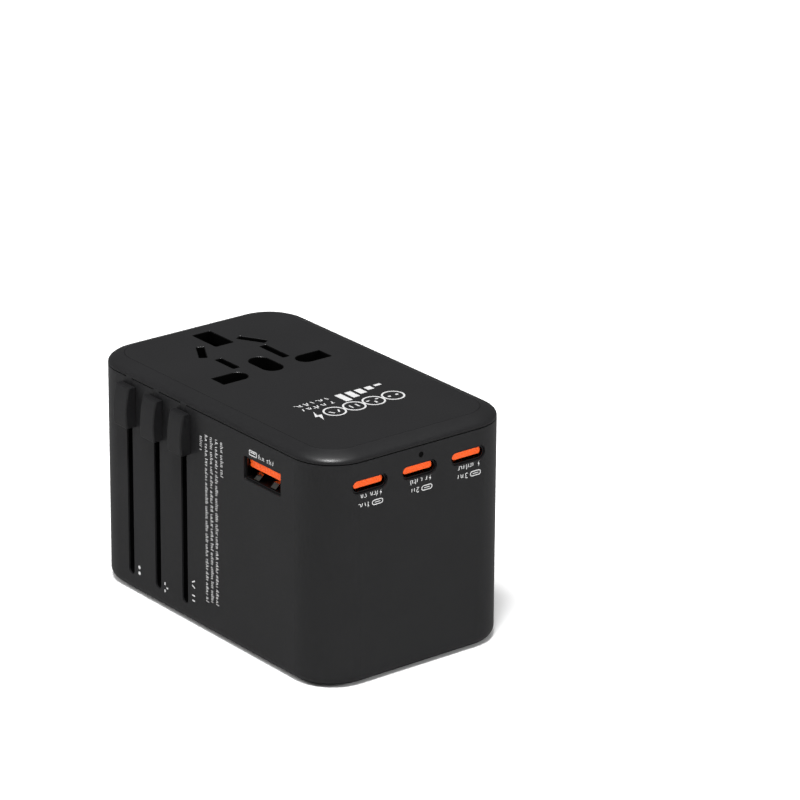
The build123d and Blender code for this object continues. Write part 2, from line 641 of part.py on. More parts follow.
def make_usb_board():
    """Port board held against the tops of the ports."""
    board = prism(Pos(24.95, 0) * RectangleRounded(26.6, 43.6, 5.5), USB_BOARD_Z, USB_BOARD_Z + BOARD)
    for x, y in BOARD_POSTS:
        board -= post(x, y, SCREW_R + 0.1, USB_BOARD_Z - 1, USB_BOARD_Z + 2)
    return board


def make_board_pillars():
    """Four pillars between the two boards."""
    pillars = []
    for x, y in BOARD_POSTS:
        pillar = post(x, y, PILLAR_R, MAIN_BOARD_Z + BOARD, USB_BOARD_Z)
        pillars.append(pillar - post(x, y, SCREW_R, USB_BOARD_Z - 6, USB_BOARD_Z + 1))
    return pillars


def make_screw(x, y, seat):
    """Pan-head screw, its head resting on a seat, with a cross recess."""
    screw = post(x, y, SCREW_R, seat - 5.5, seat)
    head = post(x, y, SCREW_HEAD_R, seat, seat + SCREW_HEAD)
    head = fillet(head.edges().group_by(Axis.Z)[-1], 0.5)
    screw += head
    top = seat + SCREW_HEAD
    screw -= span(x - 1.0, x + 1.0, y - 0.2, y + 0.2, top - 0.6, top + 1)
    screw -= span(x - 0.2, x + 0.2, y - 1.0, y + 1.0, top - 0.6, top + 1)
    return screw


def make_transformer_core():
    """Ferrite core: a frame with a centre leg."""
    core = span(16.5, 34.5, -5.5, 5.5, 13.0, 31.0)
    for x in (19.5, 28.0):
        core -= span(x, x + 3.5, -6, 6, 16.5, 27.5)
    return core


def make_transformer_winding():
    """Taped winding around the core's centre leg."""
    coil = prism(Pos(25.5, 0) * RectangleRounded(11.6, 15.6, 2.4), 16.7, 27.3)
    core_leg = span(23.0, 28.0, -5.5, 5.5, 16, 28)
    return coil - core_leg


def make_cans(places, radius, height):
    """Upright capacitor cans with rounded tops."""
    cans = []
    for x, y in places:
        can = post(x, y, radius, MAIN_BOARD_Z + BOARD, MAIN_BOARD_Z + BOARD + height)
        cans.append(fillet(can.edges().group_by(Axis.Z)[-1], 0.6))
    return cans


def make_choke():
    """Wound ring core lying on the power board."""
    z0 = MAIN_BOARD_Z + BOARD
    x, y = CHOKE_PLACE
    ring = post(x, y, 4.0, z0, z0 + 4.5) - post(x, y, 1.8, z0 - 1, z0 + 6)
    return fillet(ring.edges(), 0.8)


def make_heat_spreader():
    """Aluminium plate along the power board, folded over the transformer."""
    z0 = MAIN_BOARD_Z + BOARD
    plate = span(15.5, 31.5, 20.6, 21.6, z0, 40.0)
    return plate + span(15.5, 31.5, 10.0, 21.6, 39.2, 40.0)


def make_light_pipe():
    """Clear rod from the lamp out through the end wall."""
    inner, outer = 38.65, X_OUT - 0.05
    return Pos((inner + outer) / 2, 0, LAMP_Z) * Rot(0, 90, 0) * Cylinder(LAMP_R, outer - inner)


def save(name, shape):
    """Moves a finished piece into the object's own frame and writes it."""
    solids = shape if isinstance(shape, list) else [shape]
    bare = [solid for piece in solids for solid in piece.solids()]
    moved = [Pos(0, KNOB_PROUD / 2, 0) * solid for solid in bare]
    whole = moved[0] if len(moved) == 1 else Compound(children=moved)
    export_step(whole, os.path.join("parts", name + ".step"))


def all_screws():
    """Screws that hold the socket housing and the port board."""
    screws = [make_screw(x, y, HOUSING_FLOOR) for x, y in HOUSING_POSTS]
    return screws + [make_screw(x, y, USB_BOARD_Z + BOARD) for x, y in BOARD_POSTS]


def main():
    os.makedirs("parts", exist_ok=True)
    save("casing", make_casing())
    save("socket_cover", make_socket_cover())
    save("contact_housing", make_contact_housing())
    save("live_contact", make_pole_contact(-1))
    save("neutral_contact", make_pole_contact(1))
    save("earth_contact", make_earth_contact())
    save("shutter", make_shutter())
    save("shutter_spring", make_shutter_spring())
    for kind, x in (("eu", EU_SLOT_X), ("uk", UK_SLOT_X), ("us", US_SLOT_X)):
        save(kind + "_knob", make_knob(x))
    save("eu_carrier", make_eu_carrier())
    save("eu_pins", make_eu_pins())
    save("eu_wipers", make_eu_wipers())
    save("eu_bus_strips", make_eu_bus_strips())
    save("eu_block", make_eu_block())
    save("uk_carrier", make_uk_carrier())
    save("uk_live_pin", make_uk_pin(-1))
    save("uk_neutral_pin", make_uk_pin(1))
    save("uk_pin_sleeves", make_uk_sleeves())
    save("uk_earth_pin", make_uk_earth_pin())
    save("uk_wipers", make_uk_wipers())
    save("us_carrier", make_us_carrier())
    save("us_wipers", make_us_wipers())
    for name, side in (("live", -1), ("neutral", 1)):
        save("us_rotor_" + name, make_us_rotor(side))
        save("us_blade_" + name, make_us_blade(side))
    save("fuse_drawer", make_fuse_drawer())
    save("fuse_tube", fuse_rod(-14.2, 5.0, 2.2))
    save("fuse_caps", make_fuse_caps())
    save("fuse_clips", make_fuse_clips())
    save("usb_a_shell", make_usb_a_shell())
    save("usb_a_tongue", make_usb_a_tongue())
    for number, y in enumerate(USB_C_Y, start=1):
        save("usb_c_shell_%d" % number, make_usb_c_shell(y))
        save("usb_c_tongue_%d" % number, make_usb_c_tongue(y))
    save("main_board", make_main_board())
    save("usb_board", make_usb_board())
    save("board_pillars", make_board_pillars())
    save("frame_screws", all_screws())
    save("transformer_core", make_transformer_core())
    save("transformer_winding", make_transformer_winding())
    save("input_capacitors", make_cans(INPUT_CANS, 5.0, 20.0))
    save("output_capacitors", make_cans(OUTPUT_CANS, 4.0, 13.0))
    save("choke", make_choke())
    save("heat_spreader", make_heat_spreader())
    save("insulating_sheet", span(9.7, 10.1, -20.5, 20.5, 13.0, 46.0))
    save("light_pipe", make_light_pipe())
    save("indicator_lamp", span(37.0, 38.55, -0.8, 0.8, USB_BOARD_Z + BOARD, 48.9))


main()
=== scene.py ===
import json
from math import cos, pi, radians, sin

import bmesh
import bpy
import numpy as np
from mathutils import Matrix, Vector


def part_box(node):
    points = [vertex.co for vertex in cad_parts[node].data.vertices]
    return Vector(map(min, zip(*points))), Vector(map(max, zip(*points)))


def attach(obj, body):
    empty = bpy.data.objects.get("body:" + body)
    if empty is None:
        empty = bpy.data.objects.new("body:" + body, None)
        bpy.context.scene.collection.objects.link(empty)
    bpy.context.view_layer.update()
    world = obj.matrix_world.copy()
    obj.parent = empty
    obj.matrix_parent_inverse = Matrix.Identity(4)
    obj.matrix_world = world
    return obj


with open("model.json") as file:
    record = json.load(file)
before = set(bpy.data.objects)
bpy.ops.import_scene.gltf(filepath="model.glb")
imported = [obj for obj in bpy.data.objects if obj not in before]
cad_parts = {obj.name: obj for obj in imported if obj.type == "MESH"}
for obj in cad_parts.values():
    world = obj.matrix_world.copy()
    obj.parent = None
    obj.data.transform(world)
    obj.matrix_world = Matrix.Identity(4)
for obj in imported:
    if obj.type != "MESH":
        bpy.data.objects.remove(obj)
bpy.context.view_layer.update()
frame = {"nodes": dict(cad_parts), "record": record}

# Universal travel adapter. +X runs to the end with the three small ports, -Y is the knob side,
# +Z the socket face, and the plug face is at z = 0. All lengths below are millimetres, and
# MM turns them into metres.
MM = 0.001
NODES = frame["nodes"]

# --- places, read from the frame, in millimetres -------------------------------------------------


def box_mm(node):
    """Lowest and highest corners of a CAD node, in millimetres."""
    low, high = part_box(node)
    return np.array(low) / MM, np.array(high) / MM


def middle_mm(node):
    """Middle of a CAD node's box, in millimetres."""
    low, high = box_mm(node)
    return (low + high) / 2


CASING_LOW, CASING_HIGH = box_mm("casing")
SIDE_Y = CASING_LOW[1]
END_X = CASING_HIGH[0]
FACE_Z = box_mm("socket_cover")[1][2]
MIDDLE = np.array([*(CASING_LOW[:2] + CASING_HIGH[:2]) / 2, FACE_Z / 2])

# Painted shade: two boxes where the casing and the cover are coloured near black, without glints,
# as the shade in their recesses. One runs from just under the socket face down into its holes, and
# one from just behind the knob side into the slots. Each is a middle and half its size.
SHADE_TOP_DEPTH = 0.04
SOCKET_DEPTH = 8.0
SOCKET_HALF_SIDE = 18.0
SOCKET_PAST_GUARD = 12.5  # the guard's middle stands this far in front of the box's
SOCKET_CENTRE = np.array([middle_mm("shutter")[0] - SOCKET_PAST_GUARD, MIDDLE[1],
                          FACE_Z - SHADE_TOP_DEPTH - SOCKET_DEPTH / 2])
SOCKET_HALF = np.array([SOCKET_HALF_SIDE, SOCKET_HALF_SIDE, SOCKET_DEPTH / 2])
SLOT_SHADE_DEPTH = 0.4
SLOTS_MIDDLE_Z = 26.8
SLOTS_HALF = np.array([13.0, 7.5, 23.2])
SLOTS_CENTRE = np.array([middle_mm("uk_knob")[0], SIDE_Y + SLOT_SHADE_DEPTH + SLOTS_HALF[1],
                         SLOTS_MIDDLE_Z])

# Flat faces that carry prints: origin, reading direction, upright direction, outward normal.
SOCKET_FACE = (np.array([0, MIDDLE[1], FACE_Z]), (0, -1, 0), (1, 0, 0), (0, 0, 1))
PLUG_FACE = (np.array([0, MIDDLE[1], 0]), (0, 1, 0), (1, 0, 0), (0, 0, -1))
KNOB_SIDE = (np.array([0, SIDE_Y, 0]), (1, 0, 0), (0, 0, 1), (0, -1, 0))
KNOB_SIDE_TURNED = (np.array([0, SIDE_Y, 0]), (0, 0, -1), (1, 0, 0), (0, -1, 0))
PORT_END = (np.array([END_X, MIDDLE[1], 0]), (0, -1, 0), (0, 0, -1), (1, 0, 0))


# --- surfaces ------------------------------------------------------------------------------------
def make_mesh(name, points, faces):
    """One object from points in millimetres and quads or end caps, its faces turned outwards."""
    mesh = bpy.data.meshes.new(name)
    mesh.from_pydata((points * MM).tolist(), [], faces)
    shell = bmesh.new()
    shell.from_mesh(mesh)
    bmesh.ops.recalc_face_normals(shell, faces=shell.faces)
    shell.to_mesh(mesh)
    shell.free()
    piece = bpy.data.objects.new(name, mesh)
    bpy.context.scene.collection.objects.link(piece)
    return piece


def bar(sections, closed):
    """A bar from its cross sections, an array (stations, corners, 3). Station i and corner j join
    to station i + 1 and corner j + 1. Corners wrap round, and a closed bar's stations do too."""
    stations, corners = sections.shape[:2]
    last = stations if closed else stations - 1
    i, j = np.meshgrid(np.arange(last), np.arange(corners), indexing="ij")
    i2, j2 = (i + 1) % stations, (j + 1) % corners
    here, after = i * corners, i2 * corners
    quads = np.stack([here + j, here + j2, after + j2, after + j], axis=-1)
    faces = quads.reshape(-1, 4).tolist()
    if not closed:
        faces.append(list(range(corners)))
        faces.append(list(range((stations - 1) * corners, stations * corners)))
    return sections.reshape(-1, 3), faces


def joined(name, bars):
    """One object from many bars, their face numbers shifted past the bars before them."""
    points, faces, count = [], [], 0
    for part_points, part_faces in bars:
        points.append(part_points)
        faces += [[n + count for n in face] for face in part_faces]
        count += len(part_points)
    return make_mesh(name, np.concatenate(points), faces)


# --- prints: thin raised plates of ink on a flat face --------------------------------------------
INK_RISE = 0.02
INK_ROOT = 0.03  # how far a print reaches under its face


def band(left, right, closed=False):
    """A flat shape between two edges with the same number of points."""
    return np.asarray(left, float), np.asarray(right, float), closed


def stroke(path, width, closed=False):
    """A line of even width: the path offset by half the width to each side of its direction, which
    is the central difference of the points."""
    path = np.asarray(path, float)
    if closed:
        along = np.roll(path, -1, axis=0) - np.roll(path, 1, axis=0)
    else:
        along = np.gradient(path, axis=0)
    along /= np.linalg.norm(along, axis=1)[:, None]
    across = np.stack([-along[:, 1], along[:, 0]], axis=1) * width / 2
    return band(path + across, path - across, closed)


def arc(centre, radius, start=0.0, end=360.0, steps=24):
    """Points on a circle from one angle to another, in degrees."""
    turn = np.radians(np.linspace(start, end, steps, endpoint=end - start < 360))
    return np.array(centre) + radius * np.stack([np.cos(turn), np.sin(turn)], axis=1)


def ring(centre, radius, width):
    """A circle drawn as a line."""
    return stroke(arc(centre, radius), width, closed=True)


DISC_END = 4


def disc(centre, radius):
    """A filled circle: its upper half paired with the lower, both short of meeting by a few
    degrees at each end."""
    upper = arc(centre, radius, 180 - DISC_END, DISC_END, 10)
    return band(upper, upper * (1, -1) + (0, 2 * centre[1]))


def slab(u0, u1, v0, v1):
    """A filled rectangle between its sides."""
    return band([(u0, v1), (u1, v1)], [(u0, v0), (u1, v0)])


def patch(u, v, width, height):
    """A filled rectangle about its middle."""
    return slab(u - width / 2, u + width / 2, v - height / 2, v + height / 2)


def frame_line(u0, u1, v0, v1, width, radius=0.0):
    """A rectangle drawn as a line, with rounded corners: four quarter arcs in turn."""
    corners = ((u1 - radius, v1 - radius, 0), (u0 + radius, v1 - radius, 90),
               (u0 + radius, v0 + radius, 180), (u1 - radius, v0 + radius, 270))
    steps = 6 if radius else 1
    path = [arc((u, v), radius, turn, turn + 90, steps) for u, v, turn in corners]
    return stroke(np.concatenate(path), width, closed=True)


def bolt(u, v, height):
    """A lightning bolt: two slanted wedges that overlap at the middle."""
    half = height / 2
    left = np.array([(0.18, 1.0), (-0.42, -0.12), (0.02, -0.12), (-0.2, -1.0)])
    right = np.array([(0.18, 1.0), (0.05, 0.14), (0.44, 0.14), (-0.2, -1.0)])
    return band(left * half + (u, v), right * half + (u, v))


def wave(u, v, length, height, width):
    """One period of a sine drawn as a line."""
    along = np.linspace(-length / 2, length / 2, 17)
    across = height * np.sin(2 * pi * along / length)
    return stroke(np.stack([u + along, v + across], axis=1), width)


GAP_BEAT = -1.15  # a beat under this leaves a gap between two groups of ticks
TALL_BEAT = 1.0  # a beat over this gives a tick its full height
SHORT_TICK = 0.68  # height of the other ticks
TICK_LEAN = 0.35  # furthest that a tick leans, in pitches
BAR_BEAT = 0.1  # a crossbar's own beat over this draws it
BAR_LEVEL = 0.62
BAR_LENGTH = 0.8  # in pitches
BAR_THICKNESS = 0.7  # in ticks


def dummy_words(u, v, length, height, seed, tick=0.14, pitch=0.42):
    """A line of unreadable ticks in groups. The beat of tick k is the sum of two sines of k that
    drift apart: it sets the gaps and the tall ticks, so that the line has the rhythm of small
    print. Two more sines of k give the lean and the crossbars."""
    shapes = []
    for k in range(int(length / pitch)):
        beat = sin(seed + 2.4 * k) + sin(1.7 * seed + 0.9 * k)
        if beat < GAP_BEAT:
            continue
        left = u + k * pitch
        lean = TICK_LEAN * pitch * sin(3.1 * k + seed)
        top = v + height * (1.0 if beat > TALL_BEAT else SHORT_TICK)
        shapes.append(band([(left, v), (left + lean, top)],
                           [(left + tick, v), (left + lean + tick, top)]))
        if sin(5.0 * k + seed) > BAR_BEAT:
            level = v + height * (BAR_LEVEL if beat > 0 else 0.0)
            right = left + BAR_LENGTH * pitch
            shapes.append(slab(left, right, level, level + BAR_THICKNESS * tick))
    return shapes


def lay_print(name, face, shapes, body="adapter", rise=INK_RISE):
    """Lays flat shapes on a face: point = origin + u * reading + v * upright + h * normal, where h
    runs from just under the face to the top of the ink."""
    origin, reading, upright, normal = (np.array(part, float) for part in face)
    bars = []
    for left, right, closed in shapes:
        heights = (-INK_ROOT, -INK_ROOT, rise, rise)
        corners = [edge[:, :1] * reading + edge[:, 1:] * upright + origin + h * normal
                   for edge, h in zip((left, right, right, left), heights)]
        bars.append(bar(np.stack(corners, axis=1), closed))
    piece = joined(name, bars)
    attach(piece, body)
    return piece


# --- materials -----------------------------------------------------------------------------------
MIX_A, MIX_B, MIX_OUT = 6, 7, 2  # colour sockets of the Mix node


def linear(hex_colour):
    """sRGB hex to linear RGBA."""
    parts = [int(hex_colour[i:i + 2], 16) / 255 for i in (1, 3, 5)]
    return (*(c / 12.92 if c <= 0.04045 else ((c + 0.055) / 1.055) ** 2.4 for c in parts), 1.0)


def add(tree, kind, sockets=None, links=None, **properties):
    """Adds one node: its properties, its socket values and the links into it."""
    node = tree.nodes.new("ShaderNode" + kind)
    for name, value in properties.items():
        setattr(node, name, value)
    for name, value in (sockets or {}).items():
        node.inputs[name].default_value = value
    for name, source in (links or {}).items():
        tree.links.new(source, node.inputs[name])
    return node


def start(name):
    """An empty node material: the material, its tree and its Object coordinates."""
    material = bpy.data.materials.new(name)
    material.use_nodes = True
    tree = material.node_tree
    tree.nodes.clear()
    place = add(tree, "TexCoord")
    return material, tree, place.outputs["Object"]


def close(material, tree, sockets, links):
    """Ends a material with the Principled shader and the output."""
    shader = add(tree, "BsdfPrincipled", sockets, links)
    add(tree, "OutputMaterial", links={"Surface": shader.outputs["BSDF"]})
    return material


CLOUD_MM = 14.0  # how far the melt's flow carries one tone
TARNISH_MM = 6.0


def per_mm(size):
    """Texture scale for a feature of a given size in millimetres, on coordinates in metres."""
    return 1 / (size * MM)


def moulded(name, dark, light, grain_mm, relief_mm, gloss, specular, recess_shade=None):
    """Injection-moulded plastic. Grain is the tool's texture in height and gloss, and a slow cloud
    between two near tones is the flow of the melt. The last argument is painted shade: the part
    takes that near-black colour, with its glints tinted away, in the socket's holes and in the
    knobs' slots."""
    material, tree, place = start(name)
    grain = add(tree, "TexNoise", {"Scale": per_mm(grain_mm), "Detail": 3.0, "Roughness": 0.6},
                {"Vector": place})
    cloud = add(tree, "TexNoise", {"Scale": per_mm(CLOUD_MM), "Detail": 2.0}, {"Vector": place})
    tone = add(tree, "Mix", {MIX_A: linear(dark), MIX_B: linear(light)},
               {"Factor": cloud.outputs["Fac"]}, data_type="RGBA")
    sheen = add(tree, "MapRange", {"From Min": 0.3, "From Max": 0.7,
                                   "To Min": gloss[0], "To Max": gloss[1]},
                {"Value": grain.outputs["Fac"]})
    links = {}
    if recess_shade:
        # Painted shade: inside either box the colour goes near black and the specular tint goes
        # black, so that no glint shows.
        in_shade = add(tree, "Math", links={0: shade_box(tree, place, SOCKET_CENTRE, SOCKET_HALF),
                                       1: shade_box(tree, place, SLOTS_CENTRE, SLOTS_HALF)},
                  operation="MAXIMUM")
        tone = add(tree, "Mix", {MIX_B: linear(recess_shade)},
                   {"Factor": in_shade.outputs["Value"], MIX_A: tone.outputs[MIX_OUT]}, data_type="RGBA")
        dull = add(tree, "Mix", {MIX_A: linear("#FFFFFF"), MIX_B: linear("#000000")},
                   {"Factor": in_shade.outputs["Value"]}, data_type="RGBA")
        links["Specular Tint"] = dull.outputs[MIX_OUT]
    bump = add(tree, "Bump", {"Distance": relief_mm * MM, "Strength": 1.0},
               {"Height": grain.outputs["Fac"]})
    return close(material, tree, {"Specular IOR Level": specular},
                 {"Base Color": tone.outputs[MIX_OUT], "Roughness": sheen.outputs["Result"],
                  "Normal": bump.outputs["Normal"], **links})


def shade_box(tree, place, centre, half):
    """1 within a box in millimetres that is coloured as painted shade, and 0 outside: the distance
    past its sides, which is the largest of the three, is below nought inside."""
    centred = add(tree, "VectorMath", {1: tuple(centre * MM)}, {0: place}, operation="SUBTRACT")
    size = add(tree, "VectorMath", links={0: centred.outputs["Vector"]}, operation="ABSOLUTE")
    past = add(tree, "VectorMath", {1: tuple(half * MM)}, {0: size.outputs["Vector"]},
               operation="SUBTRACT")
    split = add(tree, "SeparateXYZ", links={"Vector": past.outputs["Vector"]})
    flat = add(tree, "Math", links={0: split.outputs["X"], 1: split.outputs["Y"]},
               operation="MAXIMUM")
    far = add(tree, "Math", links={0: flat.outputs["Value"], 1: split.outputs["Z"]},
              operation="MAXIMUM")
    inside = add(tree, "Math", {1: 0.0}, {0: far.outputs["Value"]}, operation="LESS_THAN")
    return inside.outputs["Value"]


DRAWN_SCALE = (1.0, 1.0, 0.08)  # a scratch is about twelve times longer along Z than across


def stamped_metal(name, dull, bright, gloss, scratch_mm, relief_mm):
    """Sheet or drawn metal. Fine noise stretched along Z is the drawing or wiping direction, and a
    slow noise tarnishes the colour a little."""
    material, tree, place = start(name)
    drawn = add(tree, "Mapping", {"Scale": DRAWN_SCALE}, {"Vector": place})
    lines = add(tree, "TexNoise", {"Scale": per_mm(scratch_mm), "Detail": 4.0},
                {"Vector": drawn.outputs["Vector"]})
    tarnish = add(tree, "TexNoise", {"Scale": per_mm(TARNISH_MM), "Detail": 3.0}, {"Vector": place})
    tone = add(tree, "Mix", {MIX_A: linear(dull), MIX_B: linear(bright)},
               {"Factor": tarnish.outputs["Fac"]}, data_type="RGBA")
    sheen = add(tree, "MapRange", {"To Min": gloss[0], "To Max": gloss[1]},
                {"Value": lines.outputs["Fac"]})
    bump = add(tree, "Bump", {"Distance": relief_mm * MM, "Strength": 0.6},
               {"Height": lines.outputs["Fac"]})
    return close(material, tree, {"Metallic": 1.0},
                 {"Base Color": tone.outputs[MIX_OUT], "Roughness": sheen.outputs["Result"],
                  "Normal": bump.outputs["Normal"]})


WEAVE_MM = 0.5


def circuit_laminate():
    """Glass-epoxy laminate under green solder mask: the weave shows faintly under a glossy film."""
    material, tree, place = start("glass_epoxy_laminate")
    weave = add(tree, "TexWave", {"Scale": per_mm(WEAVE_MM) / (2 * pi), "Distortion": 0.4},
                {"Vector": place}, bands_direction="DIAGONAL")
    tone = add(tree, "Mix", {MIX_A: linear("#0F4A2A"), MIX_B: linear("#176338")},
               {"Factor": weave.outputs["Fac"]}, data_type="RGBA")
    return close(material, tree, {"Roughness": 0.3}, {"Base Color": tone.outputs[MIX_OUT]})


def shade_black_rod():
    """Acrylic light guide, coloured near black as painted shade so that its window reads as a dark
    hole, with a slightly frosted sawn end.
    """
    material, tree, place = start("light_guide_in_painted_shade")
    frost = add(tree, "TexNoise", {"Scale": per_mm(0.15), "Detail": 2.0}, {"Vector": place})
    sheen = add(tree, "MapRange", {"To Min": 0.15, "To Max": 0.45}, {"Value": frost.outputs["Fac"]})
    return close(material, tree, {"Base Color": linear("#040404"), "Specular IOR Level": 0.1},
                 {"Roughness": sheen.outputs["Result"]})


def screen_ink():
    """Pad-printed pale grey ink: thin, satin, with the film a little uneven."""
    material, tree, place = start("pad_print_ink")
    film = add(tree, "TexNoise", {"Scale": per_mm(0.6), "Detail": 3.0}, {"Vector": place})
    tone = add(tree, "Mix", {MIX_A: linear("#B0B0B0"), MIX_B: linear("#D4D4D4")},
               {"Factor": film.outputs["Fac"]}, data_type="RGBA")
    return close(material, tree, {"Roughness": 0.55, "Specular IOR Level": 0.3},
                 {"Base Color": tone.outputs[MIX_OUT]})


def pale_board():
    """Painted studio board for the floor: even, matt and pale. It is clear from its under side, so
    that the plug face can be looked at from below, and gloss sees it as a shaded studio's grey."""
    material, tree, place = start("matt_painted_board")
    rollers = add(tree, "TexNoise", {"Scale": per_mm(40.0), "Detail": 2.0}, {"Vector": place})
    tone = add(tree, "Mix", {MIX_A: linear("#F6F6F6"), MIX_B: linear("#FAFAFA")},
               {"Factor": rollers.outputs["Fac"]}, data_type="RGBA")
    ray = add(tree, "LightPath")
    seen = add(tree, "Mix", {MIX_B: linear("#707070")},
               {"Factor": ray.outputs["Is Glossy Ray"], MIX_A: tone.outputs[MIX_OUT]},
               data_type="RGBA")
    paint = add(tree, "BsdfPrincipled", {"Roughness": 0.9, "Specular IOR Level": 0.1},
                {"Base Color": seen.outputs[MIX_OUT]})
    clear = add(tree, "BsdfTransparent")
    side = add(tree, "NewGeometry")
    board = add(tree, "MixShader", links={"Fac": side.outputs["Backfacing"],
                                          1: paint.outputs["BSDF"], 2: clear.outputs["BSDF"]})
    add(tree, "OutputMaterial", links={"Surface": board.outputs["Shader"]})
    return material


# Each slot of the record with the finish that shows there. A plastic has two tones, the grain's
# size and height in millimetres, the range of its roughness and its specular level. A metal has two
# tones, the range of its roughness, and the scratches' size and height.
FINISHES = {
    # PC/ABS from a spark-eroded tool under soft-feel paint: charcoal whose fine grit spreads every
    # highlight, with painted shade, near black and without glints, in the socket's holes and the
    # slots.
    "casing_plastic": moulded("soft_feel_paint_on_pc_abs", "#1A1A1B", "#1F1F20", 0.35, 0.01,
                              (0.33, 0.42), 0.48, recess_shade="#060606"),
    # The same PC/ABS from a finer tool: the knobs are polished a little by thumbs.
    "knob_plastic": moulded("pc_abs_fine_satin", "#19191A", "#1E1E1F",
                            0.3, 0.008, (0.3, 0.4), 0.45),
    # Glass-filled PBT: black, darkened past its own colour to near black as painted shade, so that
    # the parts deep inside the holes read dark; dull.
    "inner_plastic": moulded("glass_filled_pbt_in_shade", "#040404", "#070707", 0.5, 0.01, (0.6, 0.75), 0.1),
    # Black nylon of the plug bodies: satin, slightly waxy.
    "plug_plastic": moulded("satin_nylon", "#212122", "#262627", 0.4, 0.01, (0.42, 0.56), 0.18),
    # Orange PBT port tongues: saturated colour under a clean moulded gloss.
    "tongue_plastic": moulded("orange_gloss_pbt", "#FF5812", "#FF6620",
                              0.8, 0.004, (0.22, 0.32), 0.35),
    # Insulating film: milky, thin and slick.
    "sheet_plastic": moulded("polyester_film", "#B9B9B2", "#C6C6BF", 2.0, 0.01, (0.3, 0.4), 0.5),
    # Polyester winding tape: amber and shiny.
    "winding_tape": moulded("amber_polyester_tape", "#D9A21F", "#E6B437",
                            1.5, 0.02, (0.25, 0.4), 0.5),
    # PVC shrink sleeve: black-blue and glossy with a slight orange peel.
    "capacitor_sleeve": moulded("pvc_shrink_sleeve", "#101014", "#16161C",
                                1.2, 0.02, (0.2, 0.35), 0.5),
    # Sintered ferrite: dark grey, dull and slightly grainy.
    "ferrite": moulded("sintered_ferrite", "#2B2B2D", "#38383A", 0.4, 0.02, (0.6, 0.8), 0.3),
    # Unglazed fuse ceramic: off-white and chalky.
    "fuse_ceramic": moulded("unglazed_fuse_ceramic", "#DDD8CB", "#E8E4D8",
                            0.5, 0.01, (0.6, 0.75), 0.4),
    # Lamp lens: milky epoxy.
    "lamp": moulded("milky_epoxy_lens", "#DAD9CF", "#E6E5DB", 1.0, 0.004, (0.2, 0.3), 0.5),
    # Bright nickel over brass: mirror-like, faintly warm, with fine wiping lines along the pin.
    "nickel_plate": stamped_metal("bright_nickel_plate", "#B9B5AC", "#D2CFC8",
                                  (0.1, 0.24), 0.35, 0.002),
    # Stamped brass contacts: yellow, satin.
    "contact_brass": stamped_metal("stamped_brass", "#C79A4C", "#D9B060", (0.25, 0.4), 0.3, 0.004),
    # Steel port shells: dark grey, smoky, with a soft sheen on the folds.
    "shell_steel": stamped_metal("dark_grey_port_steel", "#434345", "#525254",
                                 (0.26, 0.4), 0.3, 0.004),
    # Music wire: darker steel with a drawn surface.
    "spring_steel": stamped_metal("drawn_music_wire", "#8A8A8D", "#A5A5A8",
                                  (0.25, 0.4), 0.2, 0.003),
    # Bare capacitor cans and folded aluminium sheet: pale and softly brushed.
    "capacitor_can": stamped_metal("deep_drawn_aluminium", "#C9CACC", "#DADBDD",
                                   (0.25, 0.4), 0.4, 0.004),
    "aluminium_sheet": stamped_metal("mill_finish_aluminium", "#B8B9BB", "#CBCCCE",
                                     (0.3, 0.45), 0.5, 0.006),
    "circuit_board": circuit_laminate(),
    "light_pipe": shade_black_rod(),
}
INK = screen_ink()


def dress(piece, material):
    """Gives every face of a piece one material."""
    piece.data.materials.clear()
    piece.data.materials.append(material)


def dress_cad_nodes():
    """Every CAD node takes the finish of its slot in the record."""
    for part in frame["record"]["subparts"]:
        node = NODES[part["node"]]
        for slot in node.material_slots:
            slot.material = FINISHES[part["material_slot"]]


# --- prints --------------------------------------------------------------------------------------
def plug_icon(kind, u, v, size):
    """Outline of a plug's contacts in a ring: two round pins, three flat pins, two upright blades
    or two slanted ones."""
    shapes = [ring((u, v), size, 0.17 * size)]
    if kind == "round":
        shapes += [disc((u + side * 0.42 * size, v), 0.15 * size) for side in (-1, 1)]
    elif kind == "flat":
        shapes += [patch(u + side * 0.5 * size, v - 0.22 * size, 0.36 * size, 0.16 * size)
                   for side in (-1, 1)]
        shapes.append(patch(u, v + 0.335 * size, 0.18 * size, 0.43 * size))
    elif kind == "upright":
        shapes += [patch(u + side * 0.34 * size, v, 0.14 * size, 0.64 * size) for side in (-1, 1)]
    else:
        for side in (-1, 1):
            low = (u + side * 0.52 * size, v - 0.18 * size)
            high = (u + side * 0.24 * size, v + 0.34 * size)
            shapes.append(stroke([low, high], 0.15 * size))
    return shapes


def print_socket_face():
    """The block beside the socket: a row of plug icons that ends in a bolt, and under it five
    rising bars with two lines of ticks beside them."""
    shapes = []
    icon_row, icon_pitch = 20.3, 5.2
    for step, kind in enumerate(("round", "flat", "upright", "slanted")):
        shapes += plug_icon(kind, -9.6 + icon_pitch * step, icon_row, 2.4)
    shapes.append(bolt(10.3, icon_row, 5.0))
    foot, bar_pitch, bar_width, bar_rise = 12.9, 2.6, 1.7, 0.86
    for step in range(5):
        left = -11.6 + bar_pitch * step
        shapes.append(slab(left, left + bar_width, foot, foot + bar_rise * (step + 1)))
    for v, seed in ((15.3, 2.0), (foot, 5.0)):
        shapes += dummy_words(3.0, v, 8.6, 1.5, seed, tick=0.3, pitch=0.95)
    return lay_print("socket_face_print", SOCKET_FACE, shapes)


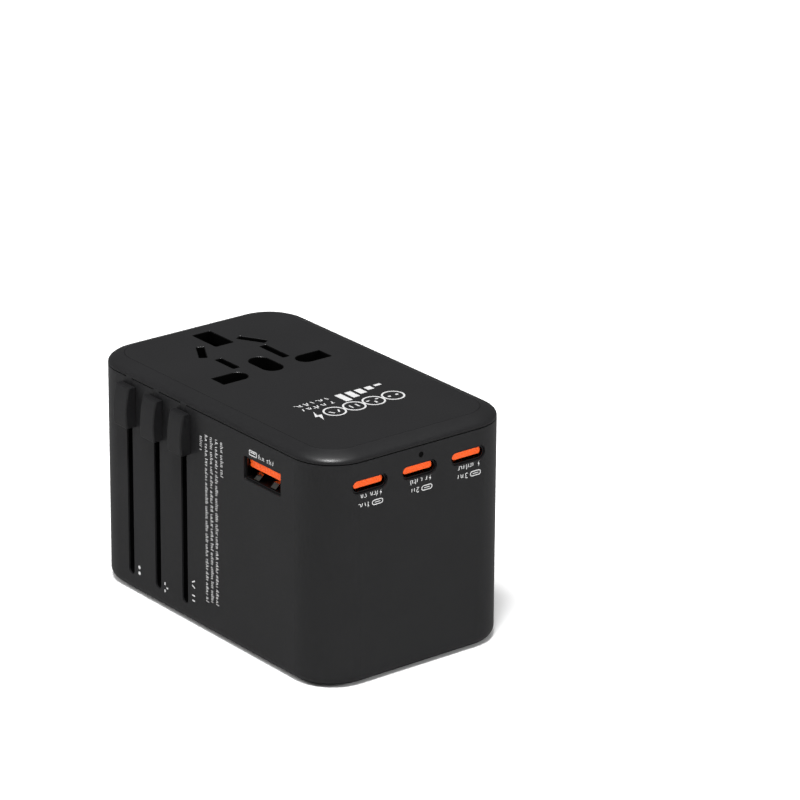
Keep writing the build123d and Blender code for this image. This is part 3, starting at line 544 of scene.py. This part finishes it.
def print_knob_side():
    """Five lines of small print beside the slots, a sign of the pins at the foot of each slot, and
    the large port's outline with a few ticks over that port."""
    shapes = []
    head_z = 45.7
    lines = ((6.2, 37.0), (4.3, 7.2), (2.5, 6.8), (0.65, 7.0), (-1.2, 41.3))  # x, and the end's z
    for number, (x, end_z) in enumerate(lines):
        shapes += dummy_words(-head_z, x, head_z - end_z, 1.0, 3.0 + 1.7 * number)
    turned = lay_print("knob_side_small_print", KNOB_SIDE_TURNED, shapes)
    signs = []
    eu, uk, us = (middle_mm(kind + "_knob")[0] for kind in ("eu", "uk", "us"))
    for step in (-1, 1):
        signs.append(disc((eu + 2.9, 5.9 + 0.7 * step), 0.42))
        signs.append(patch(uk + 2.45, 5.2 + 0.85 * step, 0.4, 0.6))
        signs.append(patch(us + 3.1, 6.3 + 0.6 * step, 1.0, 0.3))
        signs.append(stroke([(us + 2.6, 9.6 + 0.35 * step), (us + 3.6, 9.6 + 0.85 * step)], 0.3))
    signs.append(patch(uk + 3.3, 5.2, 0.6, 0.4))
    port = middle_mm("usb_a_shell")[0]
    signs.append(frame_line(port - 4.4, port - 1.9, 46.25, 47.25, 0.2, 0.15))
    signs.append(slab(port - 4.0, port - 2.3, 46.75, 47.0))
    signs += dummy_words(port - 1.3, 46.2, 5.6, 1.05, 1.0, tick=0.17, pitch=0.62)
    upright = lay_print("knob_side_signs", KNOB_SIDE, signs)
    return [turned, upright]


DIGITS = {  # strokes of the port numbers on a cell one unit wide and two high
    1: [[(0.15, 1.55), (0.6, 2.0), (0.6, 0.0)]],
    2: [[(0.0, 1.6), (0.25, 1.95), (0.75, 1.95), (1.0, 1.6), (0.95, 1.15), (0.0, 0.05),
         (1.0, 0.05)]],
    3: [[(0.0, 1.8), (0.3, 2.0), (0.8, 1.9), (0.95, 1.5), (0.7, 1.08), (0.4, 1.05)],
        [(0.4, 1.05), (0.8, 0.95), (1.0, 0.55), (0.8, 0.1), (0.3, 0.0), (0.0, 0.2)]],
}


def print_port_end():
    """Under each small port: the port's outline with its number, and a bolt, both followed by small
    print."""
    shapes = []
    first, second = -41.0, -42.95  # feet of the two lines
    digit_size = 0.55
    for number in (1, 2, 3):
        u = MIDDLE[1] - middle_mm("usb_c_shell_%d" % number)[1]
        shapes.append(frame_line(u - 3.3, u - 0.6, first + 0.05, first + 1.05, 0.2, 0.48))
        shapes.append(patch(u - 1.95, first + 0.55, 1.5, 0.16))
        for path in DIGITS[number]:
            shapes.append(stroke(np.array(path) * digit_size + (u + 0.2, first), 0.19))
        shapes += dummy_words(u + 1.3, first, 2.1, 1.1, 4.0 + number, tick=0.17, pitch=0.62)
        shapes.append(bolt(u - 2.8, second + 0.55, 1.3))
        shapes += dummy_words(u - 2.0, second, 5.3, 1.1, 7.0 + number, tick=0.17, pitch=0.62)
    return lay_print("port_end_print", PORT_END, shapes)


def print_plug_face():
    """Ten dummy lines as a rating block, a row of plain signs under it, and a wave and a ring that
    tell the live window from the neutral one."""
    shapes = []
    top, pitch = 34.9, 1.78
    lengths = (17.0, 19.6, 11.4, 36.5, 9.6, 18.6, 36.0, 36.0, 18.6, 14.4)
    for number, length in enumerate(lengths):
        shapes += dummy_words(-19.0, top - pitch * number, length, 1.0, 2.0 + 1.3 * number)
    row = 14.0
    square, target, hexagon, diamond, stair = -16.8, -10.6, -4.9, 1.1, 6.2
    for half in (2, 1):
        shapes.append(frame_line(square - half, square + half, row - half, row + half, 0.42))
    shapes.append(ring((target, row), 2.0, 0.5))
    shapes.append(disc((target, row), 0.8))
    shapes.append(stroke(arc((hexagon, row), 2.2, 30, 330, 6), 0.45, closed=True))
    shapes.append(wave(hexagon, row, 2.8, 0.55, 0.35))
    corners = [(diamond - 2, row), (diamond, row + 2.2), (diamond + 2, row), (diamond, row - 2.2)]
    shapes.append(stroke(corners, 0.4, closed=True))
    shapes.append(bolt(diamond, row, 2.4))
    for step in range(5):
        left = stair + 0.9 * step
        shapes.append(slab(left, left + 0.4, row - 2, row - 1 + 0.75 * step))
    shapes += dummy_words(12.5, row - 1.0, 5.0, 0.9, 6.0, pitch=0.5)
    shapes += dummy_words(-5.0, -23.6, 9.0, 0.7, 8.0, tick=0.1, pitch=0.36)
    pole_row = -26.4
    live, neutral = (middle_mm("uk_%s_pin" % side)[1] - MIDDLE[1] for side in ("live", "neutral"))
    shapes.append(wave(live, pole_row, 1.96, 0.4, 0.3))
    shapes.append(ring((neutral, pole_row), 0.7, 0.3))
    return lay_print("plug_face_print", PLUG_FACE, shapes)


def emboss_fuse_door():
    """Raised signs on the fuse door: a fuse between two lines, and an arrow towards the notch."""
    low, high = box_mm("fuse_drawer")
    u = (low[1] + high[1]) / 2 - MIDDLE[1]
    v = (low[0] + high[0]) / 2
    shapes = [frame_line(u - 0.9, u + 0.9, v - 4.6, v + 0.4, 0.3, 0.2)]
    shapes.append(slab(u - 0.13, u + 0.13, v - 6.2, v + 2.0))
    shapes.append(stroke([(u - 1.3, v + 4.2), (u, v + 5.6), (u + 1.3, v + 4.2)], 0.35))
    return lay_print("fuse_door_emboss", PLUG_FACE, shapes, body="fuse_holder", rise=0.12)


# --- port details --------------------------------------------------------------------------------
def leaf(path, width_direction, width, thickness):
    """A strip of metal: sections of a set width and thickness along a path of points, each square
    to the path's direction there."""
    path = np.asarray(path, float)
    along = np.gradient(path, axis=0)
    along /= np.linalg.norm(along, axis=1)[:, None]
    side = np.array(width_direction, float) * width / 2
    lift = np.cross(along, np.array(width_direction, float)) * thickness / 2
    corners = [path - side - lift, path + side - lift, path + side + lift, path - side + lift]
    return bar(np.stack(corners, axis=1), closed=False)


def make_usb_a_springs():
    """Two leaf springs on the lower wall of the large port's shell. Height over the wall is the
    rise times the squared sine of pi times the way along to the power 0.7, so each leaf rises
    steeply at the mouth and lands again behind."""
    low = box_mm("usb_a_shell")[0]
    mouth, reach, rise, thickness = low[1] + 0.25, 5.0, 1.2, 0.2
    wall = low[2] + 0.42
    way = np.linspace(0, 1, 15)
    bars = []
    for offset in (-2.9, 2.9):
        across = np.full_like(way, middle_mm("usb_a_shell")[0] + offset)
        height = wall + thickness / 2 + rise * np.sin(pi * way ** 0.7) ** 2
        path = np.stack([across, mouth + reach * way, height], axis=1)
        bars.append(leaf(path, (1, 0, 0), 1.7, thickness))
    return joined("usb_a_springs", bars)


def make_usb_a_contacts():
    """Four brass strips let into the under side of the large port's tongue."""
    low, high = box_mm("usb_a_tongue")
    front, back, under = low[1] + 0.9, high[1] - 0.5, low[2] - 0.02
    bars = []
    for offset in (-3.5, -1.0, 1.0, 3.5):
        x = middle_mm("usb_a_tongue")[0] + offset
        bars.append(leaf([(x, front, under), (x, back, under)], (1, 0, 0), 1.0, 0.12))
    return joined("usb_a_contacts", bars)


def make_usb_c_contacts(number):
    """Twelve brass strips on each flat of a small port's tongue, half a millimetre apart."""
    low, high = box_mm("usb_c_tongue_%d" % number)
    back, front = low[0] + 0.5, high[0] - 0.5
    count, pitch = 12, 0.5
    bars = []
    for z in (low[2], high[2]):
        for step in range(count):
            y = (low[1] + high[1]) / 2 + pitch * (step - (count - 1) / 2)
            bars.append(leaf([(back, y, z), (front, y, z)], (0, 1, 0), 0.26, 0.05))
    return joined("usb_c_contacts_%d" % number, bars)


# --- the studio ----------------------------------------------------------------------------------
# The eye's place from the casing's middle and the way it looks, in millimetres and degrees.
EYE_DISTANCE = 970.9
EYE_AZIMUTH = 53.04
EYE_ELEVATION = 22.26
AIM_AZIMUTH = 51.663
AIM_ELEVATION = 21.092
AIM_ROLL = 0.427
LENS = 201.583
SENSOR = 36.0
FLOOR_R = 6000.0
FLOOR_GAP = 0.2  # between the board and the plug face
FOOT_R = 10.0  # the casing's corners, seen from above
FOOT_INSET = 2.5  # from the casing's outline in to the board's opening


def towards(azimuth, elevation, distance):
    """The point at a distance from the casing's middle. Azimuth 0 is square to the knob side, and
    90 is square to the end with the small ports."""
    a, e = radians(azimuth), radians(elevation)
    return Vector(MIDDLE) + Vector((sin(a) * cos(e), -cos(a) * cos(e), sin(e))) * distance


def make_camera():
    """A long lens from well back, turned, tipped and rolled a little."""
    data = bpy.data.cameras.new("camera")
    data.lens, data.sensor_width = LENS, SENSOR
    camera = bpy.data.objects.new("camera", data)
    camera.location = towards(EYE_AZIMUTH, EYE_ELEVATION, EYE_DISTANCE) * MM
    turn = Matrix.Rotation(radians(AIM_AZIMUTH), 3, "Z")
    tip = Matrix.Rotation(radians(90 - AIM_ELEVATION), 3, "X")
    roll = Matrix.Rotation(radians(AIM_ROLL), 3, "Z")
    camera.rotation_euler = (turn @ tip @ roll).to_euler()
    bpy.context.scene.collection.objects.link(camera)
    bpy.context.scene.camera = camera


def softbox(name, azimuth, elevation, distance, size, power, in_gloss=True):
    """A square area light aimed at the casing's middle, its power in watts. A low one is kept out
    of gloss, so that the flat top does not mirror it towards an eye on the other side."""
    data = bpy.data.lights.new(name, "AREA")
    data.shape = "SQUARE"
    data.size = size * MM
    data.energy = power
    light = bpy.data.objects.new(name, data)
    light.location = towards(azimuth, elevation, distance) * MM
    facing = Vector(MIDDLE) * MM - light.location
    light.rotation_euler = facing.to_track_quat("-Z", "Y").to_euler()
    light.visible_glossy = in_gloss
    bpy.context.scene.collection.objects.link(light)


def make_floor():
    """A round pale board a hair under the plug face, with an opening inside the casing's outline.
    Both edges are rings of the same angles: the inner one is a rounded rectangle, a corner's centre
    plus a radius in the direction of the angle, and the outer one is a circle."""
    steps = 96
    turn = np.linspace(0, 2 * pi, steps, endpoint=False) + pi / steps
    out = np.stack([np.cos(turn), np.sin(turn)], axis=1)
    corners = np.sign(out) * ((CASING_HIGH - CASING_LOW)[:2] / 2 - FOOT_R)
    inner = corners + (CASING_HIGH + CASING_LOW)[:2] / 2 + out * (FOOT_R - FOOT_INSET)
    rings = np.concatenate([inner, out * FLOOR_R])
    points = np.column_stack([rings, np.full(len(rings), -FLOOR_GAP)])
    first = np.arange(len(turn))
    after = (first + 1) % len(turn)
    faces = np.stack([first, first + len(turn), after + len(turn), after], axis=1)
    mesh = bpy.data.meshes.new("floor")
    mesh.from_pydata((points * MM).tolist(), [], faces.tolist())
    floor = bpy.data.objects.new("floor", mesh)
    bpy.context.scene.collection.objects.link(floor)
    dress(floor, pale_board())


LIGHT_ABOVE = 0.28
LIGHT_BELOW = 1.0
LIGHT_IN_GLOSS = 0.4  # share of the surround that gloss sees


def make_surround():
    """Dim even light from above, brighter light from under the floor for the plug face, and less
    of both in gloss, as between black flags."""
    world = bpy.data.worlds.new("surround")
    world.use_nodes = True
    tree = world.node_tree
    tree.nodes.clear()
    place = add(tree, "TexCoord")
    height = add(tree, "SeparateXYZ", links={"Vector": place.outputs["Generated"]})
    level = add(tree, "MapRange", {"From Min": -0.05, "From Max": 0.0,
                                   "To Min": LIGHT_BELOW, "To Max": LIGHT_ABOVE},
                {"Value": height.outputs["Z"]})
    ray = add(tree, "LightPath")
    flags = add(tree, "MapRange", {"To Min": 1.0, "To Max": LIGHT_IN_GLOSS},
                {"Value": ray.outputs["Is Glossy Ray"]})
    strength = add(tree, "Math", links={0: level.outputs["Result"], 1: flags.outputs["Result"]},
                   operation="MULTIPLY")
    glow = add(tree, "Background", {"Color": linear("#E6E6E6")},
               {"Strength": strength.outputs["Value"]})
    add(tree, "OutputWorld", links={"Surface": glow.outputs["Background"]})
    bpy.context.scene.world = world


def make_studio():
    """Pale floor, a dim even surround and soft boxes."""
    make_floor()
    make_surround()
    bpy.context.scene.view_settings.view_transform = "Standard"
    softbox("key_box", 42.0, 69.0, 2600, 540, 72.0)
    softbox("ceiling_box", 0.0, 89.0, 2400, 2600, 14.0)
    softbox("left_box", -58.0, 26.0, 1500, 600, 11.0, in_gloss=False)
    softbox("right_box", 125.0, 20.0, 1500, 600, 9.0, in_gloss=False)


# --- assembly ------------------------------------------------------------------------------------
make_camera()
make_studio()
dress_cad_nodes()

for piece in [print_socket_face(), *print_knob_side(), print_port_end(), print_plug_face()]:
    dress(piece, INK)

door_signs = emboss_fuse_door()
dress(door_signs, FINISHES["plug_plastic"])

springs = make_usb_a_springs()
dress(springs, FINISHES["nickel_plate"])
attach(springs, "adapter")

for contacts in [make_usb_a_contacts(), *(make_usb_c_contacts(number) for number in (1, 2, 3))]:
    dress(contacts, FINISHES["contact_brass"])
    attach(contacts, "adapter")
